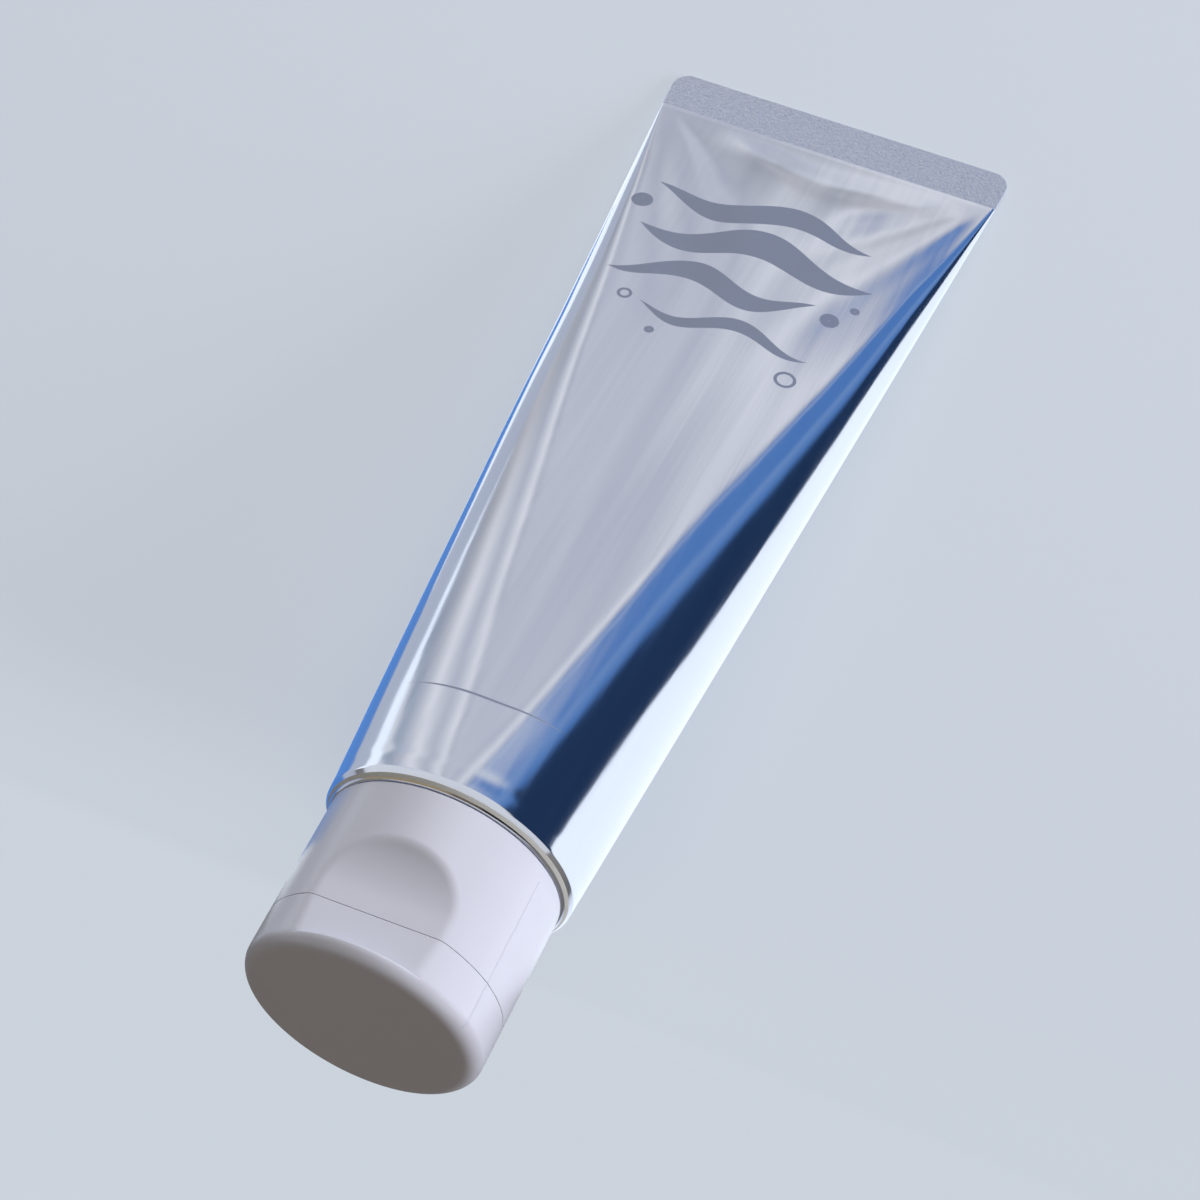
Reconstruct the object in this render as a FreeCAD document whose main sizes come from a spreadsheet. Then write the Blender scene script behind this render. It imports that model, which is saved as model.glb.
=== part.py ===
import FreeCAD, Part
import math
import os
import Sketcher

# Toothpaste tube with a hinged flip-top cap, lying on its back. Millimetres.
# Every piece is drawn standing on its lid: Z runs from the flat end of the lid to the crimp, and the front
# of the tube, with the thumb scoop, faces -Y. One placement then lays the whole tube down.

driving = {
    # sleeve: a laminate tube, round at the cap end and pressed flat at the crimp
    "tube_radius": 17.5,
    "laminate": 0.35,
    "sleeve_length": 138.4,
    "rim_height": 1.25,
    "rim_round": 1.15,
    "rim_fold": 2.3,
    "crimp_length": 8.0,
    "crimp_flare": 0.5,
    "crimp_corner": 3.0,
    "weld_length": 2.5,
    # cap: outside
    "cap_inset": 1.15,
    "cap_gap": 0.2,
    "base_length": 17.6,
    "lid_length": 7.48,
    "seam_gap": 0.12,
    "lid_round": 2.1,
    "cap_turn": 2.64,
    "facet_depth": 2.6,
    "facet_draft": 0.32,
    "facet_foot": 1.9,
    "scoop_straight": 2.4,
    "scoop_height": 9.9,
    # cap: walls, hinge and closure
    "cap_wall": 1.3,
    "deck": 1.4,
    "hinge_flat": 0.5,
    "hinge_flat_top": 4.6,
    "film_width": 7.2,
    "film_length": 1.4,
    "film": 0.35,
    "closing_rim": 1.7,
    "closing_rim_wall": 1.1,
    "closing_rim_gap": 0.35,
    "nozzle_tip": 4.0,
    "nozzle_wall": 1.1,
    "nozzle_taper": 0.8,
    "orifice": 2.5,
    "plug_depth": 1.2,
    "plug_gap": 0.35,
    "plug_wall": 0.9,
    # head: shoulder and neck
    "neck_radius": 6.5,
    "neck_bore": 4.8,
    "neck_clear": 1.2,
    "shoulder_rise": 3.4,
    "head_wall": 1.2,
    "head_land": 2.0,
    # inner collar and seal of the cap on the neck
    "grip_clear": 1.0,
    "grip_wall": 1.2,
    "seal_length": 3.0,
    "seal_wall": 0.8,
    # contents
    "paste_stop": 9.0,
    # clearances
    "fit_gap": 0.1,
}

doc = FreeCAD.newDocument("toothpaste_tube")
sheet = doc.addObject("Spreadsheet::Sheet", "dims")
for row, (alias, value) in enumerate(driving.items(), start=1):
    sheet.set(f"A{row}", alias)
    sheet.set(f"B{row}", str(value))
    sheet.setAlias(f"B{row}", alias)
doc.recompute()


def size(alias):
    return float(sheet.get(alias))


# Heights along the tube, each worked out from the lid's flat end
seamZ = "dims.lid_length"
ledgeZ = f"({seamZ} + dims.seam_gap)"
capTopZ = f"({ledgeZ} + dims.base_length)"
foldZ = f"({capTopZ} + dims.cap_gap)"
rimZ = f"({foldZ} + dims.rim_height)"
crimpZ = f"({rimZ} + dims.sleeve_length)"
endZ = f"({crimpZ} + dims.crimp_length)"
hingeZ = f"({seamZ} + dims.seam_gap / 2)"
deckTop = f"({ledgeZ} + dims.deck)"
neckTip = f"({deckTop} + dims.neck_clear)"
neckRoot = f"({foldZ} - dims.shoulder_rise)"

# Radii and offsets that several pieces share
innerRadius = "(dims.tube_radius - dims.laminate)"
capRadius = "(dims.tube_radius - dims.cap_inset)"
capInner = f"({capRadius} - dims.cap_wall)"
facetY = f"({capRadius} - dims.facet_depth)"
hingeY = f"({capRadius} - dims.hinge_flat)"
outside = f"({capRadius} + dims.cap_wall)"
crimpHalf = "(pi * dims.tube_radius / 2)"


def place(sketch, corner, point, axis, expression):
    # ties one coordinate of a sketch point to an expression of the sheet
    if expression == "0":
        line = -2 if axis == "X" else -1
        sketch.addConstraint(Sketcher.Constraint("PointOnObject", corner, point, line))
        return
    index = sketch.addConstraint(Sketcher.Constraint("Distance" + axis, -1, 1, corner, point, 1.0))
    sketch.setExpression(f"Constraints[{index}]", expression)


def plane_of(body, role):
    return next(part for part in body.Origin.OriginFeatures if part.Role == role)


def new_sketch(body, name, role, height="0"):
    sketch = body.newObject("Sketcher::SketchObject", name)
    sketch.AttachmentSupport = [(plane_of(body, role), "")]
    sketch.MapMode = "FlatFace"
    if height != "0":
        sketch.setExpression("AttachmentOffset.Base.z", height)
    return sketch


def outline(body, name, role, corners, height="0"):
    # closed outline of straight lines, drawn roughly and then pulled to its sizes
    sketch = new_sketch(body, name, role, height)
    count = len(corners)
    rough = [FreeCAD.Vector(10 + 5 * math.cos(2 * math.pi * i / count),
                            10 + 5 * math.sin(2 * math.pi * i / count), 0) for i in range(count)]
    for i in range(count):
        sketch.addGeometry(Part.LineSegment(rough[i], rough[(i + 1) % count]), False)
    for i in range(count):
        sketch.addConstraint(Sketcher.Constraint("Coincident", i, 2, (i + 1) % count, 1))
    for i, (across, along) in enumerate(corners):
        place(sketch, i, 1, "X", across)
        place(sketch, i, 1, "Y", along)
    return sketch


def disc(body, name, role, across, along, radius, height="0"):
    # full circle
    sketch = new_sketch(body, name, role, height)
    sketch.addGeometry(Part.Circle(FreeCAD.Vector(1, 1, 0), FreeCAD.Vector(0, 0, 1), 5), False)
    place(sketch, 0, 3, "X", across)
    place(sketch, 0, 3, "Y", along)
    index = sketch.addConstraint(Sketcher.Constraint("Radius", 0, 5))
    sketch.setExpression(f"Constraints[{index}]", radius)
    return sketch


def segment(body, name, height, radius, chord):
    # the part of a circle in front of a straight chord
    sketch = new_sketch(body, name, "XY_Plane", height)
    circle = Part.Circle(FreeCAD.Vector(0, 0, 0), FreeCAD.Vector(0, 0, 1), 15)
    left, right = math.radians(217), math.radians(323)
    sketch.addGeometry(Part.ArcOfCircle(circle, left, right), False)
    sketch.addGeometry(Part.LineSegment(circle.value(right), circle.value(left)), False)
    sketch.addConstraint(Sketcher.Constraint("Coincident", 0, 3, -1, 1))
    sketch.addConstraint(Sketcher.Constraint("Coincident", 0, 2, 1, 1))
    sketch.addConstraint(Sketcher.Constraint("Coincident", 1, 2, 0, 1))
    sketch.addConstraint(Sketcher.Constraint("Horizontal", 1))
    index = sketch.addConstraint(Sketcher.Constraint("Radius", 0, 15))
    sketch.setExpression(f"Constraints[{index}]", radius)
    index = sketch.addConstraint(Sketcher.Constraint("DistanceY", 1, 1, -1, 1, 9))
    sketch.setExpression(f"Constraints[{index}]", chord)
    return sketch


def feature(body, kind, name, profile=None, **settings):
    item = body.newObject("PartDesign::" + kind, name)
    if profile is not None:
        item.Profile = profile
    for key, value in settings.items():
        if isinstance(value, str) and key in ("Length", "Radius"):
            item.setExpression(key, value)
        else:
            setattr(item, key, value)
    doc.recompute()
    return item


def turned(body, name, corners):
    # solid of revolution about Z from an outline of radius and height
    profile = outline(body, name + "_profile", "XZ_Plane", corners)
    return feature(body, "Revolution", name, profile, ReferenceAxis=(profile, ["V_Axis"]), Angle=360)


def rounded(body, name, base, radius, chosen):
    # rounds the edges of a feature that the test picks
    edges = [f"Edge{i}" for i, edge in enumerate(base.Shape.Edges, start=1) if chosen(edge)]
    return feature(body, "Fillet", name, Base=(base, edges), Radius=radius)


def ring_edge(radius, height):
    # test for a full circle of one radius at one height
    def chosen(edge):
        curve = edge.Curve
        return (isinstance(curve, Part.Circle) and abs(curve.Radius - radius) < 1e-4
                and abs(edge.BoundBox.ZMin - height) < 1e-4 and edge.BoundBox.ZLength < 1e-4)
    return chosen


def flattened(lower, lowerFlat, lowerRadius, upper, upperFlat, upperRadius):
    # solid between two sections, each two half circles joined by straight sides. A flat of 0 is a circle
    def half(height, flat, radius, side):
        ends = [FreeCAD.Vector(side * flat, radius, height), FreeCAD.Vector(side * flat, -radius, height)]
        return Part.Arc(ends[0], FreeCAD.Vector(side * (flat + radius), 0, height), ends[1]).toShape()

    def side_face(side):
        corners = [FreeCAD.Vector(-lowerFlat, side * lowerRadius, lower),
                   FreeCAD.Vector(lowerFlat, side * lowerRadius, lower),
                   FreeCAD.Vector(upperFlat, side * upperRadius, upper),
                   FreeCAD.Vector(-upperFlat, side * upperRadius, upper)]
        if lowerFlat == 0:
            corners = corners[1:]
        return Part.Face(Part.makePolygon(corners + corners[:1]))

    def end_face(height, flat, radius):
        arcs = [half(height, flat, radius, side) for side in (1, -1)]
        lines = [Part.makeLine(FreeCAD.Vector(flat, side * radius, height),
                               FreeCAD.Vector(-flat, side * radius, height)) for side in (1, -1) if flat > 0]
        return Part.Face(Part.Wire(Part.__sortEdges__(arcs + lines)))

    faces = [Part.makeRuledSurface(half(lower, lowerFlat, lowerRadius, side),
                                   half(upper, upperFlat, upperRadius, side)) for side in (1, -1)]
    faces += [side_face(side) for side in (1, -1)]
    faces += [end_face(lower, lowerFlat, lowerRadius), end_face(upper, upperFlat, upperRadius)]
    sewn = Part.makeShell(faces)
    sewn.sewShape()
    solid = Part.makeSolid(sewn)
    return solid if solid.Volume > 0 else solid.reversed()


def new_body(name):
    body = doc.addObject("PartDesign::Body", name)
    body.Label = name
    return body


def hinge_side(body, flatFrom, flatTo, thinFrom, thinTo, filmFrom, filmTo):
    # flat at the back, the thinned wall behind the film, and this side's half of the film
    back = outline(body, "hinge_flat_outline", "YZ_Plane", [
        (hingeY, flatFrom), (outside, flatFrom), (outside, flatTo), (hingeY, flatTo)])
    feature(body, "Pocket", "hinge_flat", back, Midplane=True, Length=f"2 * {outside}")
    filmInside = f"({hingeY} - dims.film)"
    behind = f"({capInner} - dims.cap_wall / 2)"
    thin = outline(body, "film_relief_outline", "YZ_Plane", [
        (behind, thinFrom), (filmInside, thinFrom), (filmInside, thinTo), (behind, thinTo)])
    feature(body, "Pocket", "film_relief", thin, Midplane=True, Length="dims.film_width")
    film = outline(body, "film_outline", "YZ_Plane", [
        (filmInside, filmFrom), (hingeY, filmFrom), (hingeY, filmTo), (filmInside, filmTo)])
    return feature(body, "Pad", "film", film, Midplane=True, Length="dims.film_width")


# Head: shoulder plate, neck and the short land that the sleeve is welded to
head = new_body("tube_head")
foldInner = "(dims.tube_radius - dims.rim_fold)"
underFold = f"({foldZ} + dims.laminate + dims.fit_gap)"
landEnd = f"({rimZ} + dims.head_land)"
landRadius = (f"({innerRadius} - dims.fit_gap - {innerRadius} * (dims.head_land + dims.fit_gap)"
              " / dims.sleeve_length)")
turned(head, "shoulder", [
    ("dims.neck_bore", neckTip),
    ("dims.neck_radius", neckTip),
    ("dims.neck_radius", neckRoot),
    (f"({foldInner} - dims.fit_gap)", foldZ),
    (f"({foldInner} - dims.fit_gap)", underFold),
    (f"({innerRadius} - dims.rim_round)", underFold),
    (f"({innerRadius} - dims.fit_gap)", rimZ),
    (landRadius, landEnd),
    (f"({landRadius} - dims.head_wall)", landEnd),
    (f"({landRadius} - dims.head_wall)", f"({underFold} + dims.head_wall)"),
    (f"({foldInner} - dims.fit_gap)", f"({underFold} + dims.head_wall)"),
    ("dims.neck_bore", f"({neckRoot} + dims.head_wall)"),
])

# Sleeve: rolled-in rim, wall that changes from round to flat, and the crimp
sleeveRim = new_body("sleeve_rim")
rim = turned(sleeveRim, "rolled_rim", [
    (foldInner, foldZ),
    ("dims.tube_radius", foldZ),
    ("dims.tube_radius", rimZ),
    (innerRadius, rimZ),
    (innerRadius, f"({foldZ} + dims.laminate)"),
    (foldInner, f"({foldZ} + dims.laminate)"),
])
foldHeight = size("lid_length") + size("seam_gap") + size("base_length") + size("cap_gap")
rimHeight = foldHeight + size("rim_height")
crimpHeight = rimHeight + size("sleeve_length")
rim = rounded(sleeveRim, "rim_outside", rim, "dims.rim_round",
              ring_edge(size("tube_radius"), foldHeight))
rounded(sleeveRim, "rim_inside", rim, "dims.rim_round - dims.laminate",
        ring_edge(size("tube_radius") - size("laminate"), foldHeight + size("laminate")))

sleeveCrimp = new_body("sleeve_crimp")
band = outline(sleeveCrimp, "crimp_outline", "XZ_Plane", [
    (f"-{crimpHalf}", crimpZ),
    (crimpHalf, crimpZ),
    (f"({crimpHalf} + dims.crimp_flare)", endZ),
    (f"-({crimpHalf} + dims.crimp_flare)", endZ),
])
crimp = feature(sleeveCrimp, "Pad", "crimp", band, Midplane=True, Length="2 * dims.laminate")
endHeight = crimpHeight + size("crimp_length")
rounded(sleeveCrimp, "crimp_corners", crimp, "dims.crimp_corner",
        lambda edge: edge.BoundBox.XLength < 1e-4 and abs(edge.BoundBox.ZMin - endHeight) < 1e-4)

# The wall keeps its girth from the round rim to the flat crimp. Its two layers are welded together a little
# before the crimp, where the hollow ends
girthHalf = math.pi * size("tube_radius") / 2 - size("laminate")
hollowRadius = size("tube_radius") - size("laminate")


def inside_at(height, gap):
    # half length of the flat and radius of the hollow's section at one height, less a gap all round
    share = (height - rimHeight) / size("sleeve_length")
    return girthHalf * share, hollowRadius * (1 - share) - gap


hollowTop = crimpHeight - size("weld_length")
wall = doc.addObject("Part::Feature", "sleeve_wall")
wall.Shape = flattened(rimHeight, 0, size("tube_radius"), crimpHeight, girthHalf, size("laminate")).cut(
    flattened(rimHeight, *inside_at(rimHeight, 0), hollowTop, *inside_at(hollowTop, 0)))
sleeve = doc.addObject("Part::MultiFuse", "tube_sleeve")
sleeve.Label = "tube_sleeve"
sleeve.Shapes = [wall, sleeveRim, sleeveCrimp]

# Paste: fills the sleeve from the head to just before the crimp, and the neck
pasteFrom = f"({landEnd} + dims.fit_gap)"
pasteNeck = new_body("paste_neck")
turned(pasteNeck, "neck_fill", [
    ("0", f"({neckTip} + dims.seal_length)"),
    ("(dims.neck_bore - dims.fit_gap)", f"({neckTip} + dims.seal_length)"),
    ("(dims.neck_bore - dims.fit_gap)", f"({neckRoot} + dims.head_wall + dims.fit_gap)"),
    (f"({foldInner} - dims.fit_gap)", f"({underFold} + dims.head_wall + dims.fit_gap)"),
    (f"({landRadius} - dims.head_wall - dims.fit_gap)", f"({underFold} + dims.head_wall + dims.fit_gap)"),
    (f"({landRadius} - dims.head_wall - dims.fit_gap)", pasteFrom),
    ("0", pasteFrom),
])
fillBottom = rimHeight + size("head_land") + size("fit_gap")
fillTop = crimpHeight - size("paste_stop")
pasteFill = doc.addObject("Part::Feature", "paste_fill")
pasteFill.Shape = flattened(fillBottom, *inside_at(fillBottom, size("fit_gap")),
                            fillTop, *inside_at(fillTop, size("fit_gap")))
paste = doc.addObject("Part::MultiFuse", "paste")
paste.Label = "paste"
paste.Shapes = [pasteFill, pasteNeck]

# Cap base: one moulding with skirt, deck, nozzle, closing rim, neck grip and seal lip
base = new_body("cap_base")
closingRadius = f"({facetY} - dims.cap_wall - dims.closing_rim_gap)"
gripInner = "(dims.neck_radius + dims.fit_gap)"
gripTop = f"({neckRoot} - dims.grip_clear)"
sealOuter = "(dims.neck_bore - dims.fit_gap)"
nozzleTip = f"({ledgeZ} - dims.nozzle_tip)"
skirt = turned(base, "skirt", [
    (capRadius, ledgeZ),
    (capRadius, capTopZ),
    (capInner, capTopZ),
    (capInner, deckTop),
    (f"({gripInner} + dims.grip_wall)", deckTop),
    (f"({gripInner} + dims.grip_wall)", gripTop),
    (gripInner, gripTop),
    (gripInner, deckTop),
    (sealOuter, deckTop),
    (sealOuter, f"({deckTop} + dims.seal_length)"),
    (f"({sealOuter} - dims.seal_wall)", f"({deckTop} + dims.seal_length)"),
    (f"({sealOuter} - dims.seal_wall)", deckTop),
    ("dims.orifice", ledgeZ),
    ("dims.orifice", nozzleTip),
    ("(dims.orifice + dims.nozzle_wall)", nozzleTip),
    ("(dims.orifice + dims.nozzle_wall + dims.nozzle_taper)", ledgeZ),
    (f"({closingRadius} - dims.closing_rim_wall)", ledgeZ),
    (f"({closingRadius} - dims.closing_rim_wall)", f"({ledgeZ} - dims.closing_rim)"),
    (closingRadius, f"({ledgeZ} - dims.closing_rim)"),
    (closingRadius, ledgeZ),
])

# Solid wall behind the thumb scoop, sloped where the scoop runs out
scoopTop = f"({ledgeZ} + dims.scoop_height)"
scoopBack = f"({facetY} - dims.cap_wall)"
scoopFlatEnd = f"({ledgeZ} + dims.scoop_straight)"
backing = segment(base, "scoop_backing_outline", ledgeZ, f"({capRadius} - dims.cap_wall / 2)", scoopBack)
feature(base, "Pad", "scoop_backing", backing, Length="dims.scoop_height")
slope = outline(base, "scoop_slope_outline", "XZ_Plane", [
    (scoopBack, scoopFlatEnd),
    (capInner, scoopTop),
    (scoopBack, scoopTop),
])
feature(base, "Groove", "scoop_slope", slope, ReferenceAxis=(slope, ["V_Axis"]), Angle=360)

# Thumb scoop: a flat facet that leaves the skirt along a hollow curve
flat = outline(base, "scoop_flat_outline", "YZ_Plane", [
    (f"-{outside}", f"({ledgeZ} - dims.deck)"),
    (f"-{facetY}", f"({ledgeZ} - dims.deck)"),
    (f"-{facetY}", scoopFlatEnd),
    (f"-{outside}", scoopFlatEnd),
])
feature(base, "Pocket", "scoop_flat", flat, Midplane=True, Length=f"2 * {outside}")
scoopRun = "(dims.scoop_height - dims.scoop_straight)"
scoopRadius = f"(({scoopRun} ^ 2 + dims.facet_depth ^ 2) / (2 * dims.facet_depth))"
curve = disc(base, "scoop_curve_outline", "YZ_Plane", f"-({facetY} + {scoopRadius})", scoopFlatEnd,
             scoopRadius)
feature(base, "Pocket", "scoop_curve", curve, Midplane=True, Length=f"2 * {outside}")

# Hinge half of the base, at the back
filmTop = f"({hingeZ} + dims.film_length / 2)"
filmBottom = f"({hingeZ} - dims.film_length / 2)"
hinge_side(base, f"({ledgeZ} - dims.deck)", f"({ledgeZ} + dims.hinge_flat_top)",
           f"({ledgeZ} - dims.deck)", filmTop, hingeZ, filmTop)

# Cap lid: end disc, skirt and the hollow plug that closes the nozzle
lid = new_body("cap_lid")
plugRadius = "(dims.orifice - dims.plug_gap)"
plugTip = f"({nozzleTip} + dims.plug_depth)"
shell = turned(lid, "shell", [
    ("0", "0"),
    (capRadius, "0"),
    (capRadius, seamZ),
    (capInner, seamZ),
    (capInner, "dims.deck"),
    (plugRadius, "dims.deck"),
    (plugRadius, plugTip),
    (f"({plugRadius} - dims.plug_wall)", plugTip),
    (f"({plugRadius} - dims.plug_wall)", "dims.deck"),
    ("0", "dims.deck"),
])
rounded(lid, "end_round", shell, "dims.lid_round", ring_edge(size("tube_radius") - size("cap_inset"), 0))
facetWall = segment(lid, "facet_backing_outline", "dims.deck / 2",
                    f"({capRadius} - dims.cap_wall / 2)", scoopBack)
feature(lid, "Pad", "facet_backing", facetWall, Length=f"{seamZ} - dims.deck / 2")
# Flat facet of the lid. It ends above the rounded end, which keeps its full circle
facet = outline(lid, "facet_outline", "YZ_Plane", [
    (f"-{outside}", "dims.facet_foot"),
    (f"-({facetY} + dims.facet_draft)", "dims.facet_foot"),
    (f"-{facetY}", seamZ),
    (f"-{facetY}", f"({seamZ} + dims.deck)"),
    (f"-{outside}", f"({seamZ} + dims.deck)"),
])
feature(lid, "Pocket", "facet", facet, Midplane=True, Length=f"2 * {outside}")
hinge_side(lid, "-dims.deck", f"({seamZ} + dims.deck)", filmBottom, f"({seamZ} + dims.deck)",
           filmBottom, hingeZ)

# Lay the tube on its back: it rests on the rim of the sleeve and on the edge of the crimp
pieces = [sleeve, head, paste, base, lid]
restLength = size("sleeve_length") + size("crimp_length")
tilt = math.degrees(math.atan((size("tube_radius") - size("laminate")) / restLength))
lying = FreeCAD.Placement(FreeCAD.Vector(), FreeCAD.Rotation(FreeCAD.Vector(1, 0, 0), -(90 + tilt)))
turnedCap = FreeCAD.Placement(FreeCAD.Vector(),
                              FreeCAD.Rotation(FreeCAD.Vector(0, 0, 1), -size("cap_turn")))
for piece in pieces:
    piece.Placement = lying * turnedCap if piece in (base, lid) else lying
doc.recompute()
bounds = Part.makeCompound([piece.Shape for piece in pieces]).optimalBoundingBox()
middle = FreeCAD.Vector(bounds.Center.x, bounds.Center.y, bounds.ZMin)
for piece in pieces:
    piece.Placement = FreeCAD.Placement(-middle, FreeCAD.Rotation()) * piece.Placement
doc.recompute()

for item in doc.Objects:
    if "Invalid" in item.State or "Error" in item.State:
        raise RuntimeError(f"{item.Name} failed: {item.State}")
for piece in pieces:
    if piece.Shape.isNull() or not piece.Shape.isValid() or len(piece.Shape.Solids) != 1:
        raise RuntimeError(f"{piece.Label} has no single valid solid")

os.makedirs("parts", exist_ok=True)
for piece in pieces:
    piece.Shape.exportStep(f"parts/{piece.Label}.step")
    print(piece.Label, round(piece.Shape.Volume, 1), "mm3")
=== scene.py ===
import math

import bpy
import numpy as np
from mathutils import Euler, Matrix, Vector


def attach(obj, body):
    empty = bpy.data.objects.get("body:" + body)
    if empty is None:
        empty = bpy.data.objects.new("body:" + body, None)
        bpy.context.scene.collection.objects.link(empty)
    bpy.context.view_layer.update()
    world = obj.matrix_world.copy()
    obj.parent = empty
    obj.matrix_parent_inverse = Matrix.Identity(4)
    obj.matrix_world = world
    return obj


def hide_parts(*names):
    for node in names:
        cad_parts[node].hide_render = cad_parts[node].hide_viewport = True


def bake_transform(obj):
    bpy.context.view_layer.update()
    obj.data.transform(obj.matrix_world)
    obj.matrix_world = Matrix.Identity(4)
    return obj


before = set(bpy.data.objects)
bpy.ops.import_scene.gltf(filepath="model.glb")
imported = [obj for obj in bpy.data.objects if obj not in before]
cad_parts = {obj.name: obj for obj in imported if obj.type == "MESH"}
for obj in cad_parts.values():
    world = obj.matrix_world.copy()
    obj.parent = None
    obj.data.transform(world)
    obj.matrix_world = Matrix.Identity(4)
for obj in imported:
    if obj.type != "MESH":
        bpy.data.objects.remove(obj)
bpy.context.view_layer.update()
print("stage: frame loaded")

# A toothpaste tube lying on its back. Each piece is shaped in the tube's own standing frame, in millimetres:
# x across, y to the back, z from the flat end of the lid up to the crimp. It is then laid down in metres.
lying = {"tipDegrees": 6.6814512, "capEnd": -0.0851215958, "height": 0.0204818520, "capTurnDegrees": 2.64}

cap = {
    "radius": 16.35, "wall": 1.3,
    "seam": 7.54, "ledge": 7.555, "top": 25.2,
    "endRound": 2.1, "deck": 1.4,
    "facetDepth": 13.75, "facetDepthAtEnd": 14.2,          # front plane of the lid, from the axis
    "facetFoot": 1.9, "facetLip": 0.3,                     # the facet ends on a ledge above the round end
    "scoopStraight": 10.0, "scoopRadius": 12.117,          # hollow of the thumb scoop
    "hingeDepth": 15.85, "hingeFlatTop": 12.2,
    "filmWidth": 7.2, "film": 0.35, "filmFrom": 6.84, "filmTo": 8.24,
    "edge": 0.45,                                          # how softly two faces run into each other
    "partingAngle": 63.0, "partingHeight": 0.12,
}


# ---- small helpers ----

def linear(hexColour):
    # sRGB hex to linear colour
    parts = [int(hexColour[i:i + 2], 16) / 255 for i in (1, 3, 5)]
    return [c / 12.92 if c <= 0.04045 else ((c + 0.055) / 1.055) ** 2.4 for c in parts] + [1.0]


def addNode(tree, kind, *values, named=None, out=0, **settings):
    # adds a node, sets it up, fills its inputs in order or by name, and gives back one output
    node = tree.nodes.new(kind)
    for name, value in settings.items():
        setattr(node, name, value)
    for key, value in list(enumerate(values)) + list((named or {}).items()):
        if isinstance(value, bpy.types.NodeSocket):
            tree.links.new(value, node.inputs[key])
        elif value is not None:
            node.inputs[key].default_value = value
    return node if out is None else node.outputs[out]


def layDown(turned):
    # matrix from the standing frame in millimetres to the place where the tube lies, in metres
    tip = Matrix.Rotation(math.radians(-(90 + lying["tipDegrees"])), 4, "X")
    turn = Matrix.Rotation(math.radians(-lying["capTurnDegrees"] if turned else 0), 4, "Z")
    place = Matrix.Translation((0, lying["capEnd"], lying["height"]))
    return place @ tip @ turn @ Matrix.Scale(0.001, 4)


def newPiece(name, vertices, faces, matrix, material):
    mesh = bpy.data.meshes.new(name)
    mesh.from_pydata([tuple(v) for v in vertices], [], faces)
    mesh.transform(matrix)
    mesh.materials.append(material)
    mesh.polygons.foreach_set("use_smooth", np.ones(len(mesh.polygons), bool))
    mesh.update()
    piece = bpy.data.objects.new(name, mesh)
    bpy.context.scene.collection.objects.link(piece)
    return piece


def softMin(a, b, width):
    # the smaller of two lengths, with the crease between them rounded over a width
    share = np.clip(0.5 + 0.5 * (b - a) / width, 0, 1)
    return b * (1 - share) + a * share - width * share * (1 - share)


def strip(rows, wrap=True):
    # quads between rows of vertex numbers. A row of one vertex is a pole
    faces = []
    for lower, upper in zip(rows[:-1], rows[1:]):
        count = max(len(lower), len(upper))
        for j in range(count if wrap else count - 1):
            k = (j + 1) % count
            corners = [lower[j % len(lower)], lower[k % len(lower)], upper[k % len(upper)], upper[j % len(upper)]]
            corners = [c for i, c in enumerate(corners) if c != corners[i - 1]]
            if len(corners) > 2:
                faces.append(corners)
    return faces


def outward(vertices, faces):
    # turns every face round if the closed shell is inside out
    volume = 0.0
    for f in faces:
        a = vertices[f[0]]
        for i in range(1, len(f) - 1):
            volume += np.dot(a, np.cross(vertices[f[i]], vertices[f[i + 1]]))
    return faces if volume > 0 else [f[::-1] for f in faces]


# ---- materials ----

def newMaterial(name):
    material = bpy.data.materials.new(name)
    material.use_nodes = True
    tree = material.node_tree
    return material, tree, tree.nodes["Principled BSDF"]


def polypropylene(name, colour, roughness):
    # white injection-moulded polypropylene: slightly waxy white with a soft gloss and a faint moulded ripple
    material, tree, shader = newMaterial(name)
    place = addNode(tree, "ShaderNodeTexCoord", out=3)
    cloud = addNode(tree, "ShaderNodeTexNoise", place, named={"Scale": 45.0, "Detail": 1.0})
    tint = addNode(tree, "ShaderNodeMix", data_type="RGBA", out=None)
    tree.links.new(cloud, tint.inputs["Factor"])
    tint.inputs[6].default_value = linear(colour)
    tint.inputs[7].default_value = [c * 0.97 for c in linear(colour)[:3]] + [1]
    tree.links.new(tint.outputs[2], shader.inputs["Base Color"])
    gloss = addNode(tree, "ShaderNodeMapRange", cloud, 0.0, 1.0, roughness - 0.04, roughness + 0.04)
    tree.links.new(gloss, shader.inputs["Roughness"])
    ripple = addNode(tree, "ShaderNodeTexNoise", place, named={"Scale": 260.0, "Detail": 1.0})
    bump = addNode(tree, "ShaderNodeBump", named={"Strength": 0.05, "Distance": 0.0001, "Height": ripple})
    tree.links.new(bump, shader.inputs["Normal"])
    shader.inputs["IOR"].default_value = 1.49
    shader.inputs["Subsurface Weight"].default_value = 0.06
    shader.inputs["Subsurface Radius"].default_value = (0.004, 0.0035, 0.003)
    shader.inputs["Subsurface Scale"].default_value = 0.4
    return material


capPlastic = polypropylene("whitePolypropylene", "#DEDEE9", 0.24)
hingePlastic = polypropylene("hingeFilmPolypropylene", "#E4E4EC", 0.32)


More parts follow.
